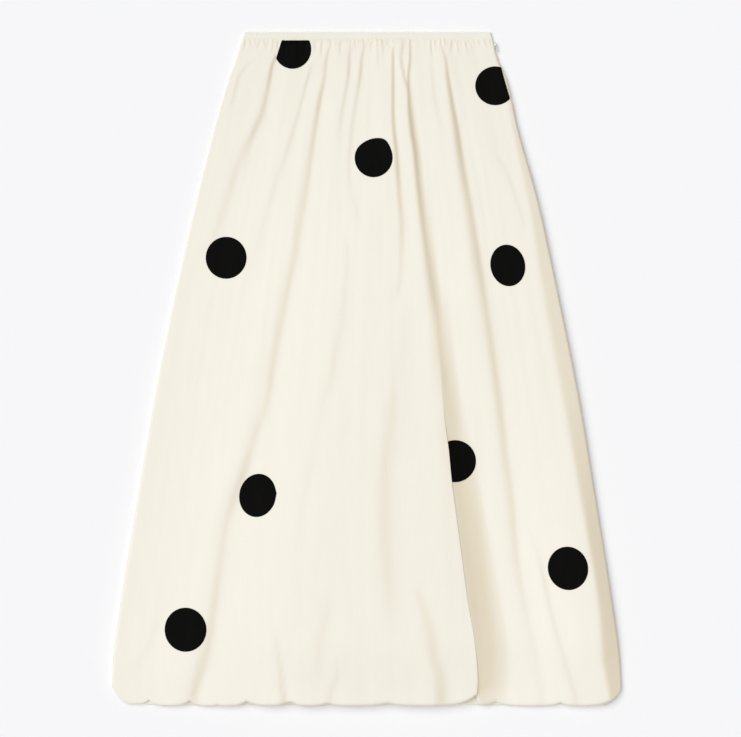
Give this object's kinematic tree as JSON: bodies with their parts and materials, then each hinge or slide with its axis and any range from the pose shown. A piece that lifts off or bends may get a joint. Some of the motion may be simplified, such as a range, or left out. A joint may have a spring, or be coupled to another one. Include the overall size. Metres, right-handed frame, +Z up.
{
  "type": "balloon skirt",
  "caption": "Long balloon skirt in cream cloth with round black dots, laid flat: gathered waistband, long folds fanning out, hem turned under in soft lobes, concealed zip in one side seam.",
  "frame": {"origin": "middle of the skirt's outline, on the surface that the skirt lies on", "axes": "+X across to the side seam with the zip, +Y towards the waist, +Z up from the surface"},
  "size_m": [0.7151, 0.9447, 0.0321],
  "materials": {
    "cream_cloth": "matt cream cotton blend with a faint dry sheen and fine slubs along its length",
    "black_cloth": "plain-woven black cloth with a slight sheen, sewn on as round patches",
    "zip_enamel": "cream enamelled zip slider and pull"
  },
  "bodies": {
    "skirt": {"front_panel": "cream_cloth", "back_panel": "cream_cloth", "waistband_front": "cream_cloth", "waistband_back": "cream_cloth", "dot_1": "black_cloth", "dot_2": "black_cloth", "dot_3": "black_cloth", "dot_4": "black_cloth", "dot_5": "black_cloth", "dot_6": "black_cloth", "dot_7": "black_cloth", "dot_8": "black_cloth", "dot_9": "black_cloth", "zip_slider": "zip_enamel"},
    "pull": {"zip_pull": "zip_enamel"}
  },
  "joints": [
    {"name": "pull_swing", "type": "hinge", "parent": "skirt", "child": "pull", "pos_m": [0.17983, 0.45726, 0.00252], "axis": [0, 0, 1], "range_deg": [0, 160]}
  ]
}
